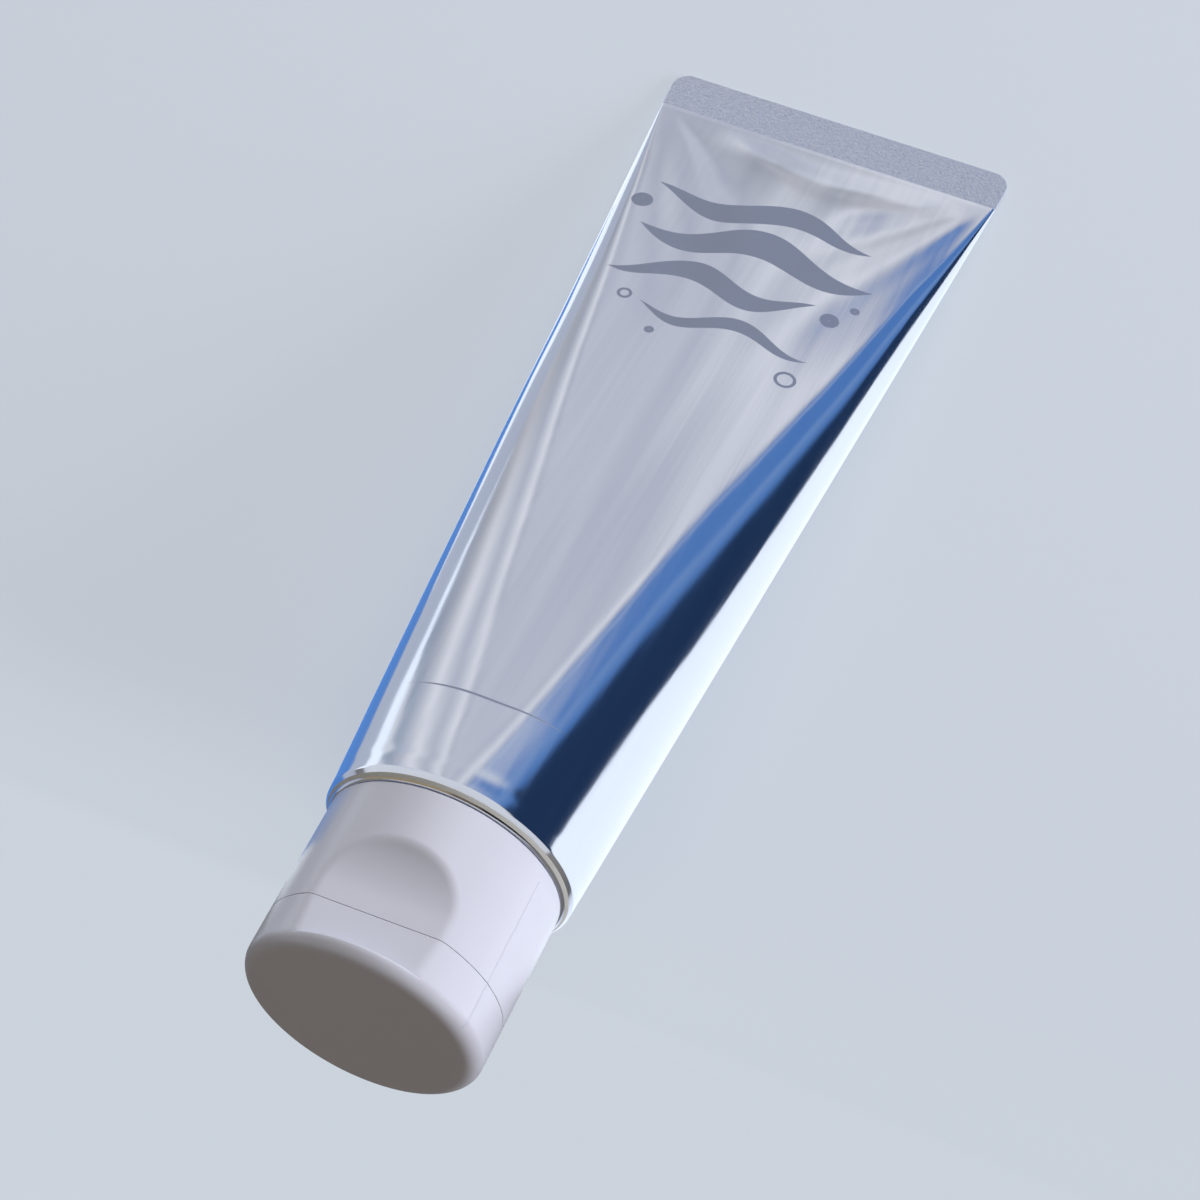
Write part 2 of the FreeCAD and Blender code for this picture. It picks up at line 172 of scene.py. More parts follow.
def flatPlastic(name, colour, roughness, scale, depth):
    # natural polyethylene or smooth paste: matte, slightly cloudy
    material, tree, shader = newMaterial(name)
    place = addNode(tree, "ShaderNodeTexCoord", out=3)
    cloud = addNode(tree, "ShaderNodeTexNoise", place, named={"Scale": scale, "Detail": 4.0})
    ramp = addNode(tree, "ShaderNodeMapRange", cloud, 0.3, 0.7, 0.92, 1.04)
    tint = addNode(tree, "ShaderNodeVectorMath", linear(colour)[:3], named={"Scale": ramp}, operation="SCALE")
    tree.links.new(tint, shader.inputs["Base Color"])
    shader.inputs["Roughness"].default_value = roughness
    bump = addNode(tree, "ShaderNodeBump", named={"Strength": 0.3, "Distance": depth, "Height": cloud})
    tree.links.new(bump, shader.inputs["Normal"])
    return material


headPlastic = flatPlastic("naturalPolyethylene", "#EAE8E0", 0.5, 220.0, 0.0001)
mintPaste = flatPlastic("smoothPaste", "#E3F2F0", 0.35, 160.0, 0.0003)

sheet = {
    "radius": 17.5, "laminate": 0.35, "length": 138.4,
    "fold": 25.4, "rim": 26.65, "rimFold": 2.3, "rimRound": 1.15,
    "crimp": 165.05, "end": 173.05, "flare": 0.5, "corner": 3.0, "hollowEnd": 162.55,
    "columns": 320, "wallRows": 170,
}
girth = 2 * math.pi * sheet["radius"]

printed = {
    # wave ribbons: middle x, middle z, half length, half width, swing, wavelength, phase, slope, all in mm
    "ribbons": [
        (-3.0, 146.0, 17.5, 2.5, 1.7, 23.0, 0.3, 0.05),
        (-1.0, 137.5, 18.5, 3.2, 2.1, 26.0, 1.5, 0.03),
        (-4.5, 128.0, 15.5, 2.3, 1.9, 21.0, 2.7, 0.06),
        (0.5, 119.5, 13.5, 1.4, 1.5, 18.0, 0.9, 0.02),
    ],
    # bubbles: x, z, outer radius, inner radius
    "bubbles": [(-21.0, 141.5, 1.7, 0.0), (13.6, 128.6, 1.5, 0.0), (16.2, 132.4, 0.8, 0.0),
                (-15.2, 120.4, 1.2, 0.6), (12.2, 113.8, 1.7, 1.1), (-9.0, 114.6, 0.8, 0.0)],
    "rule": (-1.5, 41.0, 12.5, 0.24, 0.0, 10.0, 0.0, 0.0),
    "ink": "#8B91A2", "edge": 0.12,
}


def ribbonMask(tree, across, along, ribbon):
    # 1 inside a wave ribbon with pointed ends, 0 outside
    middleX, middleZ, half, width, swing, wave, phase, slope = ribbon
    x = addNode(tree, "ShaderNodeMath", across, middleX, operation="SUBTRACT")
    turn = addNode(tree, "ShaderNodeMath", x, 2 * math.pi / wave, phase, operation="MULTIPLY_ADD")
    sine = addNode(tree, "ShaderNodeMath", turn, operation="SINE")
    lift = addNode(tree, "ShaderNodeMath", sine, swing, middleZ, operation="MULTIPLY_ADD")
    lift = addNode(tree, "ShaderNodeMath", x, slope, lift, operation="MULTIPLY_ADD")
    off = addNode(tree, "ShaderNodeMath", along, lift, operation="SUBTRACT")
    off = addNode(tree, "ShaderNodeMath", off, operation="ABSOLUTE")
    share = addNode(tree, "ShaderNodeMath", x, half, operation="DIVIDE")
    share = addNode(tree, "ShaderNodeMath", share, share, operation="MULTIPLY")
    taper = addNode(tree, "ShaderNodeMath", 1.0, share, operation="SUBTRACT")
    taper = addNode(tree, "ShaderNodeMath", taper, width, operation="MULTIPLY")
    inside = addNode(tree, "ShaderNodeMath", taper, off, operation="SUBTRACT")
    return addNode(tree, "ShaderNodeMapRange", inside, 0.0, printed["edge"], 0.0, 1.0)


def bubbleMask(tree, across, along, bubble):
    # 1 inside a disc or ring
    x = addNode(tree, "ShaderNodeMath", across, bubble[0], operation="SUBTRACT")
    z = addNode(tree, "ShaderNodeMath", along, bubble[1], operation="SUBTRACT")
    x = addNode(tree, "ShaderNodeMath", x, x, operation="MULTIPLY")
    far = addNode(tree, "ShaderNodeMath", z, z, x, operation="MULTIPLY_ADD")
    far = addNode(tree, "ShaderNodeMath", far, operation="SQRT")
    middle = (bubble[2] + bubble[3]) / 2
    far = addNode(tree, "ShaderNodeMath", far, middle, operation="SUBTRACT")
    far = addNode(tree, "ShaderNodeMath", far, operation="ABSOLUTE")
    inside = addNode(tree, "ShaderNodeMath", (bubble[2] - bubble[3]) / 2, far, operation="SUBTRACT")
    return addNode(tree, "ShaderNodeMapRange", inside, 0.0, printed["edge"], 0.0, 1.0)


def sheetPlace(tree):
    # millimetres across and along the flat sheet, from the piece's own map
    flat = addNode(tree, "ShaderNodeUVMap", uv_map="sheet")
    parts = addNode(tree, "ShaderNodeSeparateXYZ", flat, out=None)
    across = addNode(tree, "ShaderNodeMath", parts.outputs[0], girth, -girth / 2, operation="MULTIPLY_ADD")
    along = addNode(tree, "ShaderNodeMath", parts.outputs[1], sheet["end"], operation="MULTIPLY")
    return across, along


def laminateMaterial():
    # metallised laminate: silver film under clear gloss polyethylene. A soft mirror that shows the drawing lines
    # of the film as streaks along the tube. Grey flexographic print lies on it, duller than the film
    material, tree, shader = newMaterial("metallisedLaminate")
    across, along = sheetPlace(tree)
    masks = [ribbonMask(tree, across, along, r) for r in printed["ribbons"] + [printed["rule"]]]
    masks += [bubbleMask(tree, across, along, b) for b in printed["bubbles"]]
    ink = masks[0]
    for mask in masks[1:]:
        ink = addNode(tree, "ShaderNodeMath", ink, mask, operation="MAXIMUM")
    lengthwise = addNode(tree, "ShaderNodeCombineXYZ", across,
                         addNode(tree, "ShaderNodeMath", along, 0.02, operation="MULTIPLY"))
    fine = addNode(tree, "ShaderNodeTexNoise", lengthwise, named={"Scale": 0.9, "Detail": 2.0})      # streaks of 1 mm
    broad = addNode(tree, "ShaderNodeTexNoise", lengthwise, named={"Scale": 0.22, "Detail": 2.0})    # and of 5 mm
    tone = addNode(tree, "ShaderNodeMix", broad, data_type="RGBA", out=None)
    tone.inputs[6].default_value = linear("#CFD3DC")
    tone.inputs[7].default_value = linear("#DADCE3")
    colour = addNode(tree, "ShaderNodeMix", ink, data_type="RGBA", out=None)
    tree.links.new(tone.outputs[2], colour.inputs[6])
    colour.inputs[7].default_value = linear(printed["ink"])
    tree.links.new(colour.outputs[2], shader.inputs["Base Color"])
    metal = addNode(tree, "ShaderNodeMapRange", ink, 0.0, 1.0, 1.0, 0.55)
    tree.links.new(metal, shader.inputs["Metallic"])
    film = addNode(tree, "ShaderNodeMapRange", fine, 0.3, 0.7, 0.1, 0.16)
    rough = addNode(tree, "ShaderNodeMath", ink, 0.3, film, operation="MULTIPLY_ADD")
    tree.links.new(rough, shader.inputs["Roughness"])
    height = addNode(tree, "ShaderNodeMath", broad, 3.0, fine, operation="MULTIPLY_ADD")
    bump = addNode(tree, "ShaderNodeBump", named={"Strength": 0.2, "Distance": 0.00004, "Height": height})
    tree.links.new(bump, shader.inputs["Normal"])
    return material


def crimpMaterial():
    # the same laminate pressed between knurled hot jaws: matt silver with a fine grain of pits
    material, tree, shader = newMaterial("pressedLaminate")
    across, along = sheetPlace(tree)
    place = addNode(tree, "ShaderNodeCombineXYZ", across, along)
    grain = addNode(tree, "ShaderNodeTexNoise", place, named={"Scale": 2.6, "Detail": 2.0, "Roughness": 0.6})
    pits = addNode(tree, "ShaderNodeTexVoronoi", place, named={"Scale": 2.0})           # pits of 0.5 mm, drawn coarser than real
    tone = addNode(tree, "ShaderNodeMix", grain, data_type="RGBA", out=None)
    tone.inputs[6].default_value = linear("#B0B4C1")
    tone.inputs[7].default_value = linear("#DCDEE6")
    tree.links.new(tone.outputs[2], shader.inputs["Base Color"])
    shader.inputs["Metallic"].default_value = 0.75
    rough = addNode(tree, "ShaderNodeMapRange", grain, 0.3, 0.7, 0.42, 0.58)
    tree.links.new(rough, shader.inputs["Roughness"])
    height = addNode(tree, "ShaderNodeMath", pits, 0.7, grain, operation="MULTIPLY_ADD")
    bump = addNode(tree, "ShaderNodeBump", named={"Strength": 1.0, "Distance": 0.00025, "Height": height})
    tree.links.new(bump, shader.inputs["Normal"])
    return material


laminate = laminateMaterial()
pressed = crimpMaterial()
innerLayer = flatPlastic("innerPolyethyleneLayer", "#D9D7D0", 0.45, 200.0, 0.0001)
print("stage: materials made")


# ---- sleeve: a flat sheet that a node tree rolls into the tube and presses flat at one end ----

def sheetProfile():
    # rows of the sheet from the crimp's end down the outside, round the rim and up the inside: inset, height
    # and how far the two layers are still apart
    rows = []
    lam = sheet["laminate"]
    for i in range(7):                                     # rounded end of the crimp
        angle = math.pi / 2 * i / 6
        rows.append((0.0, sheet["end"] - 0.25 * (1 - math.sin(math.pi / 2 - angle)), math.sin(angle)))
    rows += [(0.0, z, 1.0) for z in np.linspace(sheet["end"] - 0.6, sheet["crimp"] + 0.4, 26)]
    rows.append((0.0, sheet["crimp"], 1.0))
    weldStep = sheet["crimp"] - 0.5
    rows += [(0.0, z, 1.0) for z in np.linspace(weldStep, sheet["rim"] + 5, sheet["wallRows"])]
    for z in np.linspace(sheet["rim"] + 4.6, sheet["rim"], 13):
        groove = 0.03 * math.exp(-((z - sheet["rim"] - 2.4) / 1.0) ** 2)      # ring where the head is welded in
        rows.append((groove, z, 1.0))
    r = sheet["rimRound"]
    for t in [0.02, 0.06] + [i / 12 for i in range(1, 13)]:       # crisp edge, then rolled in
        rows.append((r * t, sheet["rim"] - (r + 0.1) * (1 - (1 - t) ** 1.35), 1.0))
    edge = sheet["rimFold"]
    rows += [(edge - 0.6, sheet["fold"], 1.0), (edge - 0.12, sheet["fold"], 1.0), (edge, sheet["fold"] + 0.1, 1.0),
             (edge, sheet["fold"] + lam - 0.1, 1.0), (edge - 0.12, sheet["fold"] + lam, 1.0)]
    for i in range(6):
        angle = math.pi / 2 * (1 - i / 5)
        inner = r - lam
        rows.append((lam + inner * (1 - math.cos(angle)), sheet["rim"] - inner * math.sin(angle) - 0.1 * (1 - i / 5),
                     1.0))
    rows += [(lam, z, 1.0) for z in np.linspace(sheet["rim"] + 3, sheet["hollowEnd"] - 0.8, 24)]
    rows.append((lam, sheet["hollowEnd"], 0.0))
    return rows


def flatSheet():
    # the sheet before it is rolled: x along the girth, y the inset from the outside, z the height
    count = sheet["columns"]
    share = np.arange(count) / count - 0.5
    across = girth * (share + 0.86 * np.sin(4 * math.pi * share) / (4 * math.pi))
    profile = sheetProfile()
    vertices, apart, rows = [], [], []
    for inset, height, open_ in profile:
        closed = open_ == 0.0
        row = []
        for j in range(count):
            # front and back share their points where the sheet is closed
            if closed and abs(across[j]) > girth / 4 + 1e-6:
                row.append(None)
                continue
            row.append(len(vertices))
            vertices.append((across[j], inset, height))
            apart.append(open_)
        if closed:
            for j in range(count):
                if row[j] is None:
                    side = 1 if across[j] > 0 else -1
                    mirror = side * girth / 2 - across[j]
                    row[j] = row[int(np.argmin(np.abs(across - mirror)))]
        rows.append(row)
    faces = [f[::-1] for f in strip(rows)]                 # so that the rolled tube faces outwards
    return vertices, apart, faces


def rollTree():
    tree = bpy.data.node_groups.new("rollSheetIntoTube", "GeometryNodeTree")
    tree.interface.new_socket("Sheet", in_out="INPUT", socket_type="NodeSocketGeometry")
    tree.interface.new_socket("Tube", in_out="OUTPUT", socket_type="NodeSocketGeometry")
    sizes = {
        "Radius": sheet["radius"], "Laminate": sheet["laminate"], "Length": sheet["length"], "Rim": sheet["rim"],
        "Crimp": sheet["crimp"], "End": sheet["end"], "Flare": sheet["flare"], "Corner": sheet["corner"],
        "Bulge": 1.1, "Streak Height": 0.09, "Fan Slope": 0.017, "Dent Height": 0.22, "Fold Depth": 0.45,
        "Seed": 4.0,
    }
    sockets = {}
    for name, value in sizes.items():
        item = tree.interface.new_socket(name, in_out="INPUT", socket_type="NodeSocketFloat")
        item.default_value = value
        sockets[name] = item.identifier
    given = tree.nodes.new("NodeGroupInput")
    size = {name: given.outputs[name] for name in sizes}
    math_ = "ShaderNodeMath"

    flat = addNode(tree, "GeometryNodeInputPosition")
    parts = addNode(tree, "ShaderNodeSeparateXYZ", flat, out=None)
    across, inset, height = parts.outputs[0], parts.outputs[1], parts.outputs[2]
    apart = addNode(tree, "GeometryNodeInputNamedAttribute", "apart")
    quarter = addNode(tree, math_, size["Radius"], math.pi / 2, operation="MULTIPLY")
    above = addNode(tree, math_, height, size["Rim"], operation="SUBTRACT")
    share = addNode(tree, math_, above, size["Length"], operation="DIVIDE", use_clamp=True)
    left = addNode(tree, math_, 1.0, share, operation="SUBTRACT")
    thin = addNode(tree, math_, size["Laminate"], share, operation="MULTIPLY")
    radius = addNode(tree, math_, size["Radius"], left, thin, operation="MULTIPLY_ADD")
    fullFlat = addNode(tree, math_, quarter, size["Laminate"], operation="SUBTRACT")
    flatHalf = addNode(tree, math_, fullFlat, share, operation="MULTIPLY")
    # how far round a point is, from 0 at the middle of the front or back to 1 at the side
    away = addNode(tree, math_, across, operation="ABSOLUTE")
    turns = addNode(tree, math_, away, quarter, operation="DIVIDE")
    onBack = addNode(tree, math_, turns, 1.0, operation="GREATER_THAN")
    round_ = addNode(tree, math_, 1.0, turns, operation="SUBTRACT")
    round_ = addNode(tree, math_, round_, operation="ABSOLUTE")
    round_ = addNode(tree, math_, 1.0, round_, operation="SUBTRACT")
    halfGirth = addNode(tree, math_, radius, math.pi / 2, flatHalf, operation="MULTIPLY_ADD")
    run = addNode(tree, math_, round_, halfGirth, operation="MULTIPLY")
    straight = addNode(tree, math_, run, flatHalf, operation="MINIMUM")
    arc = addNode(tree, math_, run, straight, operation="SUBTRACT")
    angle = addNode(tree, math_, arc, radius, operation="DIVIDE")
    bend = addNode(tree, math_, radius, inset, operation="SUBTRACT")
    outX = addNode(tree, math_, addNode(tree, math_, angle, operation="SINE"), bend, straight,
                   operation="MULTIPLY_ADD")
    outY = addNode(tree, math_, addNode(tree, math_, angle, operation="COSINE"), bend, operation="MULTIPLY")
    # crimp: flares a little towards its end and has rounded corners
    past = addNode(tree, math_, height, size["Crimp"], operation="SUBTRACT")
    past = addNode(tree, math_, past, 0.0, operation="MAXIMUM")
    crimpLength = addNode(tree, math_, size["End"], size["Crimp"], operation="SUBTRACT")
    flare = addNode(tree, math_, past, crimpLength, operation="DIVIDE")
    flare = addNode(tree, math_, flare, size["Flare"], operation="MULTIPLY")
    toEnd = addNode(tree, math_, size["End"], height, operation="SUBTRACT")
    cornerIn = addNode(tree, math_, size["Corner"], toEnd, operation="SUBTRACT")
    cornerIn = addNode(tree, math_, cornerIn, 0.0, operation="MAXIMUM")
    inSquare = addNode(tree, math_, cornerIn, cornerIn, operation="MULTIPLY")
    square = addNode(tree, math_, size["Corner"], size["Corner"], operation="MULTIPLY")
    reach = addNode(tree, math_, square, inSquare, operation="SUBTRACT")
    reach = addNode(tree, math_, reach, 0.0, operation="MAXIMUM")
    reach = addNode(tree, math_, reach, operation="SQRT")
    cut = addNode(tree, math_, size["Corner"], reach, operation="SUBTRACT")
    widen = addNode(tree, math_, flare, cut, operation="SUBTRACT")
    widen = addNode(tree, math_, widen, quarter, operation="DIVIDE")
    widen = addNode(tree, math_, widen, 1.0, operation="ADD")
    outX = addNode(tree, math_, outX, widen, operation="MULTIPLY")
    side = addNode(tree, math_, across, operation="SIGN")
    outX = addNode(tree, math_, outX, side, operation="MULTIPLY")
    facing = addNode(tree, math_, onBack, 2.0, -1.0, operation="MULTIPLY_ADD")
    outY = addNode(tree, math_, outY, facing, operation="MULTIPLY")
    outY = addNode(tree, math_, outY, apart, operation="MULTIPLY")
    rolled = addNode(tree, "ShaderNodeCombineXYZ", outX, outY, height)
    tube = addNode(tree, "GeometryNodeSetPosition", given.outputs["Sheet"], named={"Position": rolled})

    # relief of the full tube's front, outwards along the surface
    flatAt = addNode(tree, "GeometryNodeInputNamedAttribute", "flatPlace", data_type="FLOAT_VECTOR")
    parts = addNode(tree, "ShaderNodeSeparateXYZ", flatAt, out=None)
    across, inset, height = parts.outputs[0], parts.outputs[1], parts.outputs[2]
    above = addNode(tree, math_, height, size["Rim"], operation="SUBTRACT")
    below = addNode(tree, math_, size["Crimp"], height, operation="SUBTRACT")
    share = addNode(tree, math_, above, size["Length"], operation="DIVIDE", use_clamp=True)
    away = addNode(tree, math_, across, operation="ABSOLUTE")
    turns = addNode(tree, math_, away, quarter, operation="DIVIDE")
    outer = addNode(tree, "ShaderNodeMapRange", inset, 0.0, 0.02, 1.0, 0.0)
    front = addNode(tree, "ShaderNodeMapRange", turns, 0.82, 1.0, 1.0, 0.0, interpolation_type="SMOOTHSTEP")
    nearRim = addNode(tree, "ShaderNodeMapRange", above, 1.0, 16.0, 0.0, 1.0, interpolation_type="SMOOTHSTEP")
    nearCrimp = addNode(tree, "ShaderNodeMapRange", below, 0.0, 6.0, 0.0, 1.0, interpolation_type="SMOOTHSTEP")
    arch = addNode(tree, math_, share, 2.0, -1.0, operation="MULTIPLY_ADD")
    arch = addNode(tree, math_, arch, 0.0, operation="MAXIMUM")
    arch = addNode(tree, math_, arch, 4.0, operation="POWER")
    arch = addNode(tree, math_, 1.0, arch, operation="SUBTRACT")
    rise = addNode(tree, "ShaderNodeMapRange", share, 0.0, 0.5, 0.0, 1.0, interpolation_type="SMOOTHSTEP")
    arch = addNode(tree, math_, arch, rise, operation="MULTIPLY")
    crown = addNode(tree, math_, turns, turns, operation="MULTIPLY")
    crown = addNode(tree, math_, 1.0, crown, operation="SUBTRACT", use_clamp=True)
    crown = addNode(tree, math_, crown, 1.3, operation="POWER")
    bulge = addNode(tree, math_, arch, crown, operation="MULTIPLY")
    bulge = addNode(tree, math_, bulge, size["Bulge"], operation="MULTIPLY")
    # streaks along the tube
    slow = addNode(tree, math_, height, 0.05, operation="MULTIPLY")
    streakAt = addNode(tree, "ShaderNodeCombineXYZ", across, slow)
    streak = addNode(tree, "ShaderNodeTexNoise", streakAt,
                     named={"W": size["Seed"], "Scale": 0.13, "Detail": 0.4}, noise_dimensions="4D")
    streak = addNode(tree, math_, streak, 0.5, operation="SUBTRACT")
    streak = addNode(tree, math_, streak, 4.0, operation="MULTIPLY")
    relief = addNode(tree, math_, streak, size["Streak Height"], operation="MULTIPLY")
    # fans of creases that run out of the two corners of the crimp
    toCorner = addNode(tree, math_, fullFlat, away, operation="SUBTRACT")
    drop = addNode(tree, math_, below, 1.5, operation="ADD")
    drop = addNode(tree, math_, drop, 0.5, operation="MAXIMUM")
    slant = addNode(tree, math_, toCorner, drop, operation="ARCTAN2")
    sideSeed = addNode(tree, math_, addNode(tree, math_, across, operation="SIGN"), 3.0, size["Seed"],
                       operation="MULTIPLY_ADD")
    far = addNode(tree, math_, toCorner, toCorner, operation="MULTIPLY")
    far = addNode(tree, math_, below, below, far, operation="MULTIPLY_ADD")
    far = addNode(tree, math_, far, operation="SQRT")
    fanAt = addNode(tree, "ShaderNodeCombineXYZ", slant, addNode(tree, math_, far, 0.008, operation="MULTIPLY"))
    fan = addNode(tree, "ShaderNodeTexNoise", fanAt, named={"W": sideSeed, "Scale": 3.6, "Detail": 0.0},
                  noise_dimensions="4D")
    fan = addNode(tree, math_, fan, 0.5, operation="SUBTRACT")
    near = addNode(tree, math_, far, 26.0, operation="MINIMUM")
    fan = addNode(tree, math_, fan, near, operation="MULTIPLY")
    fade = addNode(tree, "ShaderNodeMapRange", far, 40.0, 120.0, 1.0, 0.25, interpolation_type="SMOOTHSTEP")
    fan = addNode(tree, math_, fan, fade, operation="MULTIPLY")
    offMiddle = addNode(tree, "ShaderNodeMapRange", away, 0.0, 9.0, 0.0, 1.0, interpolation_type="SMOOTHSTEP")
    fan = addNode(tree, math_, fan, offMiddle, operation="MULTIPLY")
    fan = addNode(tree, math_, fan, 2.0, operation="MULTIPLY")
    relief = addNode(tree, math_, fan, size["Fan Slope"], relief, operation="MULTIPLY_ADD")
    # shallow dents
    dentAt = addNode(tree, "ShaderNodeCombineXYZ", across, addNode(tree, math_, height, 0.6, operation="MULTIPLY"))
    dent = addNode(tree, "ShaderNodeTexNoise", dentAt, named={"W": size["Seed"], "Scale": 0.04, "Detail": 0.5},
                   noise_dimensions="4D")
    dent = addNode(tree, math_, dent, 0.5, operation="SUBTRACT")
    relief = addNode(tree, math_, dent, size["Dent Height"], relief, operation="MULTIPLY_ADD")
    # long soft fold below the crimp, from its left part over to the right corner
    offset = addNode(tree, math_, across, 3.0, operation="SUBTRACT")
    offset = addNode(tree, math_, offset, 21.0, operation="DIVIDE")
    offset = addNode(tree, math_, offset, offset, operation="MULTIPLY")
    offset = addNode(tree, math_, 1.0, offset, operation="SUBTRACT")
    inFold = addNode(tree, "ShaderNodeMapRange", offset, 0.0, 0.6, 0.0, 1.0, interpolation_type="SMOOTHSTEP")
    foldLine = addNode(tree, math_, offset, 6.2, operation="MULTIPLY")
    foldOff = addNode(tree, math_, below, foldLine, operation="SUBTRACT")
    foldOff = addNode(tree, math_, foldOff, 3.2, operation="DIVIDE")
    foldOff = addNode(tree, math_, foldOff, foldOff, operation="MULTIPLY")
    foldOff = addNode(tree, math_, foldOff, -1.0, operation="MULTIPLY")
    fold = addNode(tree, math_, foldOff, operation="EXPONENT")
    fold = addNode(tree, math_, fold, inFold, operation="MULTIPLY")
    fold = addNode(tree, math_, fold, size["Fold Depth"], operation="MULTIPLY")
    relief = addNode(tree, math_, relief, fold, operation="SUBTRACT")
    for mask in (front, nearCrimp):
        relief = addNode(tree, math_, relief, mask, operation="MULTIPLY")
    relief = addNode(tree, math_, relief, bulge, operation="ADD")
    for mask in (outer, nearRim):
        relief = addNode(tree, math_, relief, mask, operation="MULTIPLY")
    relief = addNode(tree, math_, relief, -0.2, operation="MAXIMUM")      # stays clear of the inside layer
    normal = addNode(tree, "GeometryNodeInputNormal")
    push = addNode(tree, "ShaderNodeVectorMath", normal, named={"Scale": relief}, operation="SCALE")
    tube = addNode(tree, "GeometryNodeSetPosition", tube, named={"Offset": push})

    tube = addNode(tree, "GeometryNodeRealizeInstances", tube)
    tube = addNode(tree, "GeometryNodeSetMaterial", tube, named={"Material": laminate})
    isCrimp = addNode(tree, math_, height, addNode(tree, math_, size["Crimp"], 0.2, operation="ADD"),
                      operation="GREATER_THAN")
    tube = addNode(tree, "GeometryNodeSetMaterial", tube, named={"Selection": isCrimp, "Material": pressed})
    isInside = addNode(tree, math_, inset, sheet["laminate"] - 0.01, operation="GREATER_THAN")
    isLow = addNode(tree, math_, height, sheet["fold"] + 0.3, operation="GREATER_THAN")
    isInside = addNode(tree, math_, isInside, isLow, operation="MULTIPLY")
    tube = addNode(tree, "GeometryNodeSetMaterial", tube, named={"Selection": isInside, "Material": innerLayer})
    result = tree.nodes.new("NodeGroupOutput")
    tree.links.new(tube, result.inputs["Tube"])
    return tree, sizes, sockets


def makeSleeve():
    vertices, apart, faces = flatSheet()
    mesh = bpy.data.meshes.new("flatSheet")
    mesh.from_pydata([tuple(v) for v in vertices], [], faces)
    mesh.attributes.new("apart", "FLOAT", "POINT").data.foreach_set("value", np.array(apart, np.float32))
    place = mesh.attributes.new("flatPlace", "FLOAT_VECTOR", "POINT")
    place.data.foreach_set("vector", np.array(vertices, np.float32).ravel())
    # map of the flat sheet, with the overlap at the middle of the back
    uv = mesh.uv_layers.new(name="sheet")
    flat = np.array(vertices)
    corner = np.zeros(len(mesh.loops), np.int32)
    mesh.loops.foreach_get("vertex_index", corner)
    u = flat[corner, 0] / girth + 0.5
    starts = np.zeros(len(mesh.polygons), np.int32)
    totals = np.zeros(len(mesh.polygons), np.int32)
    mesh.polygons.foreach_get("loop_start", starts)
    mesh.polygons.foreach_get("loop_total", totals)
    for start, total in zip(starts, totals):
        part = u[start:start + total]
        if part.max() - part.min() > 0.5:
            part[part < 0.5] += 1.0
    uv.data.foreach_set("uv", np.column_stack([u, flat[corner, 2] / sheet["end"]]).astype(np.float32).ravel())
    piece = bpy.data.objects.new("flatSheet", mesh)
    bpy.context.scene.collection.objects.link(piece)

    tree, sizes, sockets = rollTree()
    roll = piece.modifiers.new("roll", "NODES")
    roll.node_group = tree
    for name, value in sizes.items():
        roll[sockets[name]] = value
    bpy.context.view_layer.update()
    ready = piece.evaluated_get(bpy.context.evaluated_depsgraph_get())
    made = bpy.data.meshes.new_from_object(ready)
    piece.modifiers.clear()
    bpy.data.objects.remove(piece)

    made.name = "sleeve"
    points = np.zeros(len(made.vertices) * 3, np.float32)
    made.vertices.foreach_get("co", points)
    points = points.reshape(-1, 3).astype(float)
    loops = [list(p.vertices) for p in made.polygons]
    if outward(points, loops) is not loops:
        made.flip_normals()
    made.transform(layDown(False))
    made.polygons.foreach_set("use_smooth", np.ones(len(made.polygons), bool))
    for name in ("apart", "flatPlace"):
        if name in made.attributes:
            made.attributes.remove(made.attributes[name])
    made.update()
    sleeve = bpy.data.objects.new("sleeve", made)
    bpy.context.scene.collection.objects.link(sleeve)
    return sleeve


sleeve = makeSleeve()
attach(sleeve, "tube")
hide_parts("tube_sleeve")
print("stage: sleeve made,", len(sleeve.data.polygons), "faces")


# ---- cap: turned shells whose outside is limited by the flats, the scoop and the hinge side ----

def capAngles():
    # angles round the axis from the front, close together where an edge runs along the cap
    close = list(np.arange(-40.0, 40.01, 0.4))
    wide = list(np.arange(43.0, 166.0, 3.0))
    filmHalf = math.degrees(math.asin(cap["filmWidth"] / 2 / cap["hingeDepth"]))
    hinge = [180 - filmHalf - 0.35, 180 - filmHalf + 0.35, 180 - filmHalf * 0.6, 180 - filmHalf * 0.2]
    parting = [cap["partingAngle"] + d for d in (-1.2, -0.7, -0.35, 0.0, 0.35, 0.7, 1.2)]
    opposite = [a + 54.0 for a in parting]
    side = sorted(wide + hinge)
    right = sorted(side + parting)
    left = sorted(side + opposite)
    right = [a for i, a in enumerate(right) if i == 0 or a - right[i - 1] > 0.2]
    left = [a for i, a in enumerate(left) if i == 0 or a - left[i - 1] > 0.2]
    return np.radians(np.array(close + right + [180.0] + [-a for a in left[::-1]]))


